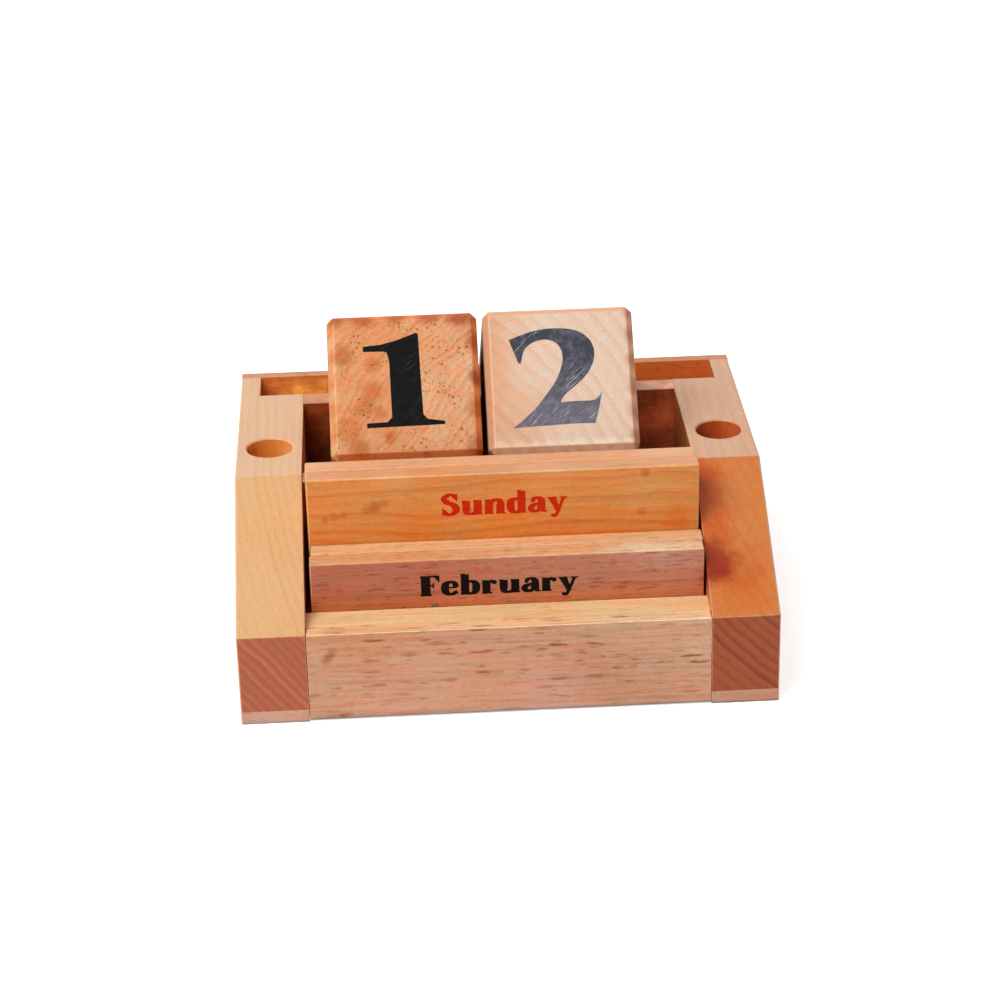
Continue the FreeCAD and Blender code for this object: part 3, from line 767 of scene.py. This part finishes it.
letterForms = {
    "a": ".76; curve .19 .56 .5, .25 .63 .8, .38 .655 1, .5 .57 1, .53 .42 1, .53 .07 1; disc .19 .53 .085; "
        "bar .53 0 .75 .07; curve .5 .4 .6, .33 .37 .8, .17 .28 1, .16 .12 1, .3 .045 1, .48 .13 .6",
    "b": ".82; line .18 0 1, .18 1 1; bar 0 .965 .18 1.035; curve .22 .54 .5, .36 .65 .9, .56 .58 1, "
        ".63 .35 1, .56 .12 1, .38 .045 1, .2 .1 .6",
    "c": ".7; disc .55 .51 .095; curve .56 .58 .6, .4 .655 .8, .2 .56 1, .14 .35 1, .2 .14 1, .4 .045 1, "
        ".62 .17 .6",
    "d": f".84; line .6 0 1, .6 1 1; bar .42 .965 .6 1.035; bar .6 0 .8 .07; {bowl}",
    "e": ".74; bar .14 .34 .62 .41; curve .58 .38 .75, .54 .57 .75, .38 .655 .9, .2 .56 1, .14 .35 1, "
        ".2 .14 1, .4 .045 1, .64 .18 .6",
    "g": ".84; curve .6 .62 1, .6 .1 1, .58 -.14 1, .42 -.26 1, .2 -.22 .7; disc .19 -.17 .08; "
        f"bar .6 .6 .8 .67; {bowl}",
    "h": f".88; line .18 0 1, .18 1 1; bar 0 .965 .18 1.035; bar 0 0 .37 .07; {arch}",
    "i": ".42; line .2 0 1, .2 .66 1; bar .02 .6 .2 .67; bar .01 0 .4 .07; disc .18 .88 .115",
    "l": ".42; line .2 0 1, .2 1 1; bar .02 .965 .2 1.035; bar .01 0 .4 .07",
    "m": "1.32; line .19 0 1, .19 .66 1; bar .02 .6 .19 .67; bar .01 0 .37 .07; curve .22 .48 .5, "
        ".36 .61 .8, .5 .64 1, .61 .54 1, .64 .38 1, .64 0 1; bar .47 0 .82 .07; curve .68 .48 .5, "
        ".82 .61 .8, .96 .64 1, 1.07 .54 1, 1.1 .38 1, 1.1 0 1; bar .93 0 1.3 .07",
    "n": f".88; line .19 0 1, .19 .66 1; bar .02 .6 .19 .67; bar .01 0 .38 .07; {arch}",
    "o": ".78; ring .39 .655 1, .2 .57 1, .14 .35 1, .2 .13 1, .39 .045 1, .58 .13 1, .64 .35 1, .58 .57 1",
    "p": ".82; line .18 -.26 1, .18 .66 1; bar 0 .6 .18 .67; bar 0 -.29 .37 -.22; curve .22 .55 .5, "
        ".38 .65 .9, .56 .58 1, .63 .35 1, .56 .12 1, .38 .045 1, .22 .12 .6",
    "r": ".66; line .19 0 1, .19 .66 1; bar .02 .6 .19 .67; bar .01 0 .42 .07; curve .22 .46 .5, .32 .58 .7, "
        ".46 .63 1; disc .51 .56 .105",
    "s": ".64; curve .51 .55 .6, .42 .64 .8, .27 .65 .8, .15 .52 .85, .27 .4 .95, .42 .32 .95, .5 .19 .85, "
        ".38 .05 .8, .22 .05 .8, .11 .15 .6; bar .5 .46 .56 .68; bar .06 .02 .12 .24",
    "t": ".56; curve .23 .86 .6, .23 .6 1, .23 .25 1, .28 .08 1, .4 .045 .9, .52 .12 .6; bar .02 .6 .5 .67",
    "u": ".9; curve .2 .64 1, .2 .3 1, .25 .1 1, .4 .045 1, .56 .1 .8, .66 .22 .5; line .66 0 1, .66 .66 1; "
        "bar .02 .6 .2 .67; bar .48 .6 .66 .67; bar .66 0 .86 .07",
    "v": ".78; line .17 .66 1, .42 0 .7; line .42 0 .45, .63 .66 .4; bar 0 .6 .36 .67; bar .48 .6 .78 .67",
    "y": ".8; line .17 .66 1, .43 0 .6; curve .65 .64 .4, .42 .04 .45, .33 -.16 .5, .22 -.22 .8; "
        "disc .2 -.17 .08; bar 0 .6 .36 .67; bar .5 .6 .8 .67",
    "A": "1; line .17 0 .4, .47 1 .4; line .46 1 1, .78 0 1.15; bar .26 .29 .66 .36; bar 0 0 .34 .08; "
        "bar .56 0 1 .08",
    "D": ".96; line .24 0 1.15, .24 1 1.15; bar .02 0 .4 .08; bar .02 .92 .4 1; curve .3 .96 .9, .56 .92 1, "
        ".75 .74 1.1, .79 .5 1.15, .75 .26 1.1, .56 .08 1, .3 .04 .9",
    "F": ".84; line .24 0 1.15, .24 1 1.15; bar .02 0 .48 .08; bar .02 .92 .76 1; shape .8 1, .58 .93, "
        ".76 .68, .8 .68; bar .24 .46 .54 .54; shape .58 .68, .5 .54, .5 .46, .58 .33",
    "J": ".7; curve .45 .96 1.15, .45 .6 1.15, .44 .25 1.15, .34 .06 1, .16 .08 .6; disc .15 .17 .11; "
        "bar .24 .92 .68 1",
    "M": "1.2; line .17 .02 .4, .17 .98 .4; bar 0 0 .34 .08; bar 0 .92 .3 1; line .25 1 1.1, .56 0 .9; "
        "line .56 0 .4, .88 1 .4; line .96 0 1.15, .96 1 1.15; bar .76 0 1.16 .08; bar .9 .92 1.16 1",
    "N": "1; line .17 .02 .4, .17 .98 .4; bar 0 0 .34 .08; bar 0 .92 .3 1; line .22 1 1.15, .78 0 .9; "
        "line .82 0 .4, .82 1 .4; bar .63 .92 .97 1",
    "O": ".96; ring .47 .955 1, .24 .86 1.1, .15 .5 1.15, .24 .14 1.1, .47 .045 1, .7 .14 1.1, .79 .5 1.15, "
        ".7 .86 1.1",
    "S": ".8; curve .63 .76 .5, .52 .91 .7, .34 .95 .8, .17 .79 .95, .26 .61 1.05, .42 .53 1.15, "
        ".58 .4 1.05, .6 .2 .95, .42 .05 .8, .24 .07 .7, .1 .24 .5; bar .61 .66 .68 .98; "
        "bar .05 .02 .12 .34",
    "T": ".92; line .44 0 1.15, .44 1 1.15; bar .22 0 .66 .08; bar .03 .92 .85 1; shape .01 1, .01 .66, "
        ".05 .66, .22 .93; shape .87 1, .66 .93, .83 .66, .87 .66",
    "W": "1.26; line .17 1 1.1, .42 0 .8; line .42 0 .4, .62 .95 .4; line .6 1 1.1, .86 0 .8; line .86 0 .4, "
        "1.1 1 .4; bar 0 .92 .36 1; bar .44 .92 .8 1; bar .96 .92 1.24 1",
    "0": ".82; ring .41 .955 1, .22 .84 1.2, .16 .5 1.25, .22 .16 1.2, .41 .045 1, .6 .16 1.2, .66 .5 1.25, "
        ".6 .84 1.2",
    "1": ".8; shape .265 .02, .268 .1, .262 .7, .24 .8, .2 .812, 0 .815, 0 .87, .18 .885, .34 .925, .545 1, "
        ".565 .985, .575 .5, .585 .13, .61 .02; shape .012 0, .012 .05, .22 .056, .265 .1, .585 .13, "
        ".625 .075, .8 .048, .8 .012",
    "2": ".92; outline 0 .902, .2 .97, .36 1, .55 1, .7 .965, .8 .89, .845 .8, .85 .71, .82 .61, .75 .505, "
        ".64 .405, .545 .33, .5 .275, .49 .25, .49 .245 1, .65 .25, .8 .252, .85 .275, .905 .33 1, .86 .15, "
        ".82 .02 1, .6 .022, .3 .012, 0 0 1, .1 .075, .24 .2, .35 .33, .44 .45, .5 .57, .53 .68, .52 .78, "
        ".47 .855, .38 .89, .28 .88, .19 .835, .14 .77, .11 .655 1, .085 .655 1",
    "3": ".78; disc .17 .74 .11; curve .13 .8 .5, .26 .93 .8, .42 .95 1, .57 .84 1.2, .55 .65 1.1, "
        ".36 .535 .6; curve .34 .54 .6, .54 .48 .9, .62 .28 1.25, .52 .09 1.1, .34 .045 1, .12 .16 .5; "
        "disc .17 .23 .11",
    "4": ".84; line .54 0 1.25, .54 .98 1.25; bar .3 0 .78 .07; line .56 .97 .45, .06 .3 .45; "
        "bar 0 .24 .82 .33",
    "5": ".76; shape .16 .86, .14 1, .64 1, .6 .84; line .17 .93 .4, .15 .52 .4; curve .15 .5 .6, .34 .6 1, "
        ".55 .5 1.1, .61 .31 1.25, .53 .11 1.1, .34 .045 1, .13 .14 .5; disc .17 .2 .11",
    "6": ".8; disc .59 .82 .1; curve .62 .89 .5, .46 .95 .9, .27 .83 1.1, .17 .58 1.25, .16 .35 1.25, "
        ".23 .13 1.1, .41 .045 1; curve .41 .045 1, .58 .13 1.1, .64 .32 1.15, .57 .51 1, .42 .58 .8, "
        ".22 .47 .6",
    "7": ".76; shape .04 .86, .02 1, .72 1, .7 .86; shape .04 1, 0 .7, .05 .7, .2 .87; curve .66 .92 .6, "
        ".5 .64 .9, .38 .34 1.2, .36 .02 1.35",
    "8": ".8; ring .4 .955 1, .25 .89 1, .19 .74 1.05, .25 .6 1, .4 .53 1, .55 .6 1, .61 .74 1.05, "
        ".55 .89 1; ring .4 .525 1, .22 .45 1.1, .15 .29 1.2, .22 .12 1.1, .4 .045 1, .58 .12 1.1, "
        ".65 .29 1.2, .58 .45 1.1",
}


def readForm(text):
    width, *strokes = text.split("; ")
    forms = []
    for stroke in strokes:
        kind, numbers = stroke.split(" ", 1)
        forms.append((kind, [tuple(float(n) for n in point.split()) for point in numbers.split(", ")]))
    return float(width), forms


letterForms = {character: readForm(text) for character, text in letterForms.items()}


def smoothPath(points, closed):
    # a Catmull-Rom curve through the points
    count = len(points)
    path = []
    for i in range(count if closed else count - 1):
        around = (i + k if closed else min(max(i + k, 0), count - 1) for k in (-1, 0, 1, 2))
        around = [points[k % count] for k in around]
        for step in range(pen["steps"]):
            t = step / pen["steps"]
            path.append(tuple(
                0.5 * (2 * q + (r - p) * t + (2 * p - 5 * q + 4 * r - s) * t * t
                       + (3 * q - p - 3 * r + s) * t ** 3)
                for p, q, r, s in zip(*around)))
    if not closed:
        path.append(tuple(points[-1]))
    return path


def bendsOf(path, closed):
    # how sharply the path turns to the left at each of its points
    bends = []
    count = len(path)
    for i, here in enumerate(path):
        if not closed and i in (0, count - 1):
            bends.append(0.0)
            continue
        back = Vector(here[:2]) - Vector(path[i - 1][:2])
        ahead = Vector(path[(i + 1) % count][:2]) - Vector(here[:2])
        bends.append(back.angle_signed(ahead) * -2 / (back.length + ahead.length))
    return bends


def penStroke(shape, path, closed, level):
    # an edge the pen's width across, extruded along the path; a straight stroke is cut level
    count = len(path)
    bends = bendsOf(path, closed)
    share, least = pen["bend"]
    pairs = []
    for i, (x, y, press) in enumerate(path):
        before = path[i - 1] if i or closed else path[0]
        after = path[(i + 1) % count] if i < count - 1 or closed else path[-1]
        along = Vector((after[0] - before[0], after[1] - before[1], 0)).normalized()
        side = Vector((-along.y, along.x, 0))
        half = press * math.hypot(pen["wide"] * side.x, pen["thin"] / max(press, pen["leastShare"]) * side.y)
        if level:
            side, half = Vector((1 if side.x > 0 else -1, 0, 0)), press * pen["wide"]
        # the inner edge of a tight bend stops short of the bend's centre
        near = [bends[(i + k) % count] for k in (-2, -1, 0, 1, 2) if closed or 0 <= i + k < count]
        leftHalf = min(half, share / max(max(near), least))
        rightHalf = min(half, share / max(-min(near), least))
        pairs.append((Vector((x, y, 0)) + side * leftHalf, Vector((x, y, 0)) - side * rightHalf))
    ends = tuple(shape.verts.new(place) for place in pairs[0])
    edge = shape.edges.new(ends)
    for target in pairs[1:] + ([pairs[0]] if closed else []):
        made = bmesh.ops.extrude_edge_only(shape, edges=[edge])["geom"]
        edge = [g for g in made if isinstance(g, bmesh.types.BMEdge)][0]
        fresh = [g for g in made if isinstance(g, bmesh.types.BMVert)]
        olds = {v: [e.other_vert(v) for e in v.link_edges if e.other_vert(v) in ends][0] for v in fresh}
        ends = tuple(sorted(fresh, key=lambda v: olds[v] is not ends[0]))
        ends[0].co, ends[1].co = target
    bmesh.ops.remove_doubles(shape, verts=shape.verts, dist=pen["weld"])


def smoothOutline(points):
    # smooth runs between the sharp corners, back to the first point
    rim, run = [], []
    for point in [*points, (*points[0], 1)]:
        run.append(point[:2])
        if len(point) == 3:
            rim += smoothPath(run, False)[:-1]
            run = [point[:2]]
    return rim


def orderedMesh(name, shape):
    # corners and faces in one fixed order, so that the union is the same in each run
    corners = sorted(shape.verts, key=lambda v: v.co[:])
    number = {v: i for i, v in enumerate(corners)}
    faces = []
    for face in shape.faces:
        ring = [number[v] for v in face.verts]
        first = ring.index(min(ring))
        faces.append(ring[first:] + ring[:first])
    mesh = bpy.data.meshes.new(name)
    mesh.from_pydata([v.co[:] for v in corners], [], sorted(faces))
    shape.free()
    return mesh


def strokeMesh(kind, points):
    shape = bmesh.new()
    if kind in ("line", "curve", "ring"):
        path = points if kind == "line" else smoothPath(points, kind == "ring")
        penStroke(shape, path, kind == "ring", kind == "line")
    elif kind == "disc":
        x, y, radius = points[0]
        place = Matrix.Translation((x, y, 0))
        bmesh.ops.create_circle(shape, cap_ends=True, segments=pen["discSides"], radius=radius, matrix=place)
    else:
        rim = smoothOutline(points) if kind == "outline" else points
        if kind == "bar":
            x0, y0, x1, y1 = points[0]
            rim = [(x0, y0), (x1, y0), (x1, y1), (x0, y1)]
        shape.faces.new([shape.verts.new((x, y, 0)) for x, y in rim])
    made = bmesh.ops.extrude_face_region(shape, geom=shape.faces[:])["geom"]
    bmesh.ops.translate(shape, vec=(0, 0, 1), verts=[g for g in made if isinstance(g, bmesh.types.BMVert)])
    bmesh.ops.recalc_face_normals(shape, faces=shape.faces)
    return orderedMesh("stroke", shape)


def makeLetter(forms):
    # the strokes of one letter, joined into a single solid
    strokes = [addObject("stroke", strokeMesh(*form)) for form in forms]
    if len(strokes) > 1:
        rest = bpy.data.collections.new("strokes")
        for stroke in strokes[1:]:
            rest.objects.link(stroke)
        join = strokes[0].modifiers.new("join", "BOOLEAN")
        join.operation = "UNION"
        join.solver = "EXACT"
        join.operand_type = "COLLECTION"
        join.collection = rest
    graph = bpy.context.evaluated_depsgraph_get()
    mesh = bpy.data.meshes.new_from_object(strokes[0].evaluated_get(graph))
    for stroke in strokes:
        bpy.data.objects.remove(stroke)
    return mesh


letters = {character: makeLetter(forms) for character, (width, forms) in letterForms.items()}
print("stage 4:", len(letters), "letters drawn,", sum(len(m.polygons) for m in letters.values()), "faces")


def wordLength(words):
    return sum(letterForms[c][0] + pen["gap"] for c in words) - pen["gap"]


def setType(name, words, place, across, upward, height, width, material, body):
    # words stand on the surface at place, the middle of their base line
    across, upward = Vector(across), Vector(upward)
    outward = across.cross(upward)
    length = wordLength(words)
    stretch = width / length
    shape = bmesh.new()
    start = -length / 2
    for character in words:
        letter = bmesh.new()
        letter.from_mesh(letters[character])
        for v in letter.verts:
            x, y, z = (v.co.x + start) * stretch, v.co.y * height, v.co.z * pen["thick"] - pen["sunk"]
            v.co = Vector(place) + across * x + upward * y + outward * z
        part = toMesh("part", letter)
        shape.from_mesh(part)
        bpy.data.meshes.remove(part)
        start += letterForms[character][0] + pen["gap"]
    bmesh.ops.recalc_face_normals(shape, faces=shape.faces)
    piece = addObject(name, toMesh(name, shape))
    piece.data.materials.append(material)
    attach(piece, body)


# Ink: thin in places, and scratched through to the wood along the grain.

inkMarks = {
    "broad": (420.0, 5.0, 0.7),  # scale, detail and roughness of the noise
    "broadRamp": (0.38, 0.68),
    "lines": ((150.0, 3000.0, 3000.0), 2.0),
    "lineRamp": (0.60, 0.68),
    "places": (120.0, 1.0),
    "placesRamp": (0.42, 0.58),
    "rough": (0.2, 0.5),
    "bump": (0.15, 0.0001),
    "shine": 0.07,
}
inkLooks = {
    "blackInk": {
        "color": (10, 6, 5), "thin": (34, 20, 16), "bare": (84, 52, 38),
        "faded": 0.5, "scratches": 0.25, "turns": [(0, 40, 0)]},
    "redInk": {
        "color": (208, 34, 4), "thin": (206, 58, 14), "bare": (228, 120, 60),
        "faded": 0.6, "scratches": 0.2, "turns": [(0, 40, 0)]},
    "fadedInk": {
        "color": (126, 96, 84), "thin": (156, 112, 92), "bare": (180, 120, 92),
        "faded": 0.8, "scratches": 0.3, "turns": [(0, 40, 0)]},
    "cubeInk": {
        "color": (8, 8, 9), "thin": (24, 24, 26), "bare": (92, 84, 80),
        "faded": 0.5, "scratches": 0.35, "turns": [(41, 0, 0), (0, 38, 0)]},
    "wornInk": {
        "color": (66, 69, 80), "thin": (124, 122, 136), "bare": (196, 192, 190),
        "faded": 0.55, "scratches": 0.95, "turns": [(41, 0, 0), (0, 42, 0)],
        "paleBelow": (0.082, 0.066, -0.1, 0.6)},
}


def makeInk(name, look):
    material, tree = startMaterial(name)
    where = put(tree, "TexCoord").outputs["Object"]
    broad = noise(tree, where, *inkMarks["broad"])["Fac"]
    faded = times(tree, ramp(tree, broad, *inkMarks["broadRamp"]), look["faded"])
    if "paleBelow" in look:
        pale = ramp(tree, axesOf(tree, where)[2], *look["paleBelow"])
        faded = calc(tree, "ADD", faded, pale, clamp=True)
    lines = longNoise(tree, turnVector(tree, where, look["turns"]), *inkMarks["lines"])["Fac"]
    places = noise(tree, where, *inkMarks["places"])["Fac"]
    places = ramp(tree, places, *inkMarks["placesRamp"])
    scratched = times(tree, ramp(tree, lines, *inkMarks["lineRamp"]), places)
    scratched = times(tree, scratched, look["scratches"])
    color = blendColor(tree, faded, linear(*look["color"]), linear(*look["thin"]))
    closeMaterial(tree, {
        "Base Color": blendColor(tree, scratched, color, linear(*look["bare"])),
        "Roughness": calc(tree, "MULTIPLY_ADD", broad, *inkMarks["rough"]),
        "Specular IOR Level": inkMarks["shine"], "Normal": bumps(tree, broad, *inkMarks["bump"])})
    return material


inks = {name: makeInk(name, look) for name, look in inkLooks.items()}


# Names on the plates: front upright, front upside down, back upright, back upside down.

plateNames = {
    "month_plate_1": "February January March April",
    "month_plate_2": "May June July August",
    "month_plate_3": "September October November December",
    "day_plate_1": "Sunday Monday Tuesday Wednesday",
    "day_plate_2": "Thursday Friday Saturday",
}
nameLook = {
    # base line above the plate's foot and step aside, each for upright and for turned words
    "month": {"height": 0.0063, "spread": 1.096, "base": (0.0133, 0.0092), "aside": (-0.00245, -0.0046)},
    "day": {"height": 0.0068, "spread": 1.015, "base": (0.0318, 0.0126), "aside": (0.00015, 0.00015)},
}
nameInks = {"Sunday": "redInk", "January": "fadedInk"}


def letterPlate(node, words):
    look = nameLook[node.split("_")[0]]
    low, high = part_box(node)
    middle = (low.x + high.x) / 2
    for place, word in enumerate(words.split()):
        back, turned = divmod(place, 2)
        facing = 1 if back else -1
        way = -1 if turned else 1
        spot = (middle + look["aside"][turned], high.y if back else low.y, low.z + look["base"][turned])
        height = look["height"]
        width = wordLength(word) * height * look["spread"]
        ink = inks[nameInks.get(word, "blackInk")]
        across = (-facing * way, 0, 0)
        setType("name_" + word.lower(), word, spot, across, (0, 0, way), height, width, ink, node)


for node, words in plateNames.items():
    letterPlate(node, words)


# Figures on the cubes: in front, right, back, left, on top and underneath.

cubeFigures = {"number_cube_left": "140325", "number_cube_right": "278610"}
figureLook = {
    "lean": 41.0,
    "half": 0.0216,  # from the cube's middle to a face
    "height": 0.028,
    "base": -0.0126,
    # figure in front: height, width, base line, step aside and ink
    "number_cube_left": (0.028, 0.0225, -0.01245, -0.0001, "cubeInk"),
    "number_cube_right": (0.0293, 0.0263, -0.0142, -0.0012, "wornInk"),
}


def figureCube(node, figures, look):
    lean = math.radians(look["lean"])
    across = Vector((1, 0, 0))
    upward = Vector((0, math.sin(lean), math.cos(lean)))
    inward = Vector((0, math.cos(lean), -math.sin(lean)))
    faces = [(across, upward), (inward, upward), (-across, upward),
             (-inward, upward), (across, inward), (across, -inward)]
    low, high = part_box(node)
    middle = (low + high) / 2
    for place, figure in enumerate(figures):
        along, up = faces[place]
        height, base, step, ink = look["height"], look["base"], 0, "cubeInk"
        width = wordLength(figure) * height
        if place == 0:
            height, width, base, step, ink = look[node]
        spot = middle + along.cross(up) * look["half"] + up * base + along * step
        name = "_".join(("figure", node.split("_")[-1], figure))
        setType(name, figure, spot, along, up, height, width, inks[ink], node)


for node, figures in cubeFigures.items():
    figureCube(node, figures, figureLook)
print("stage 5: names and figures set")
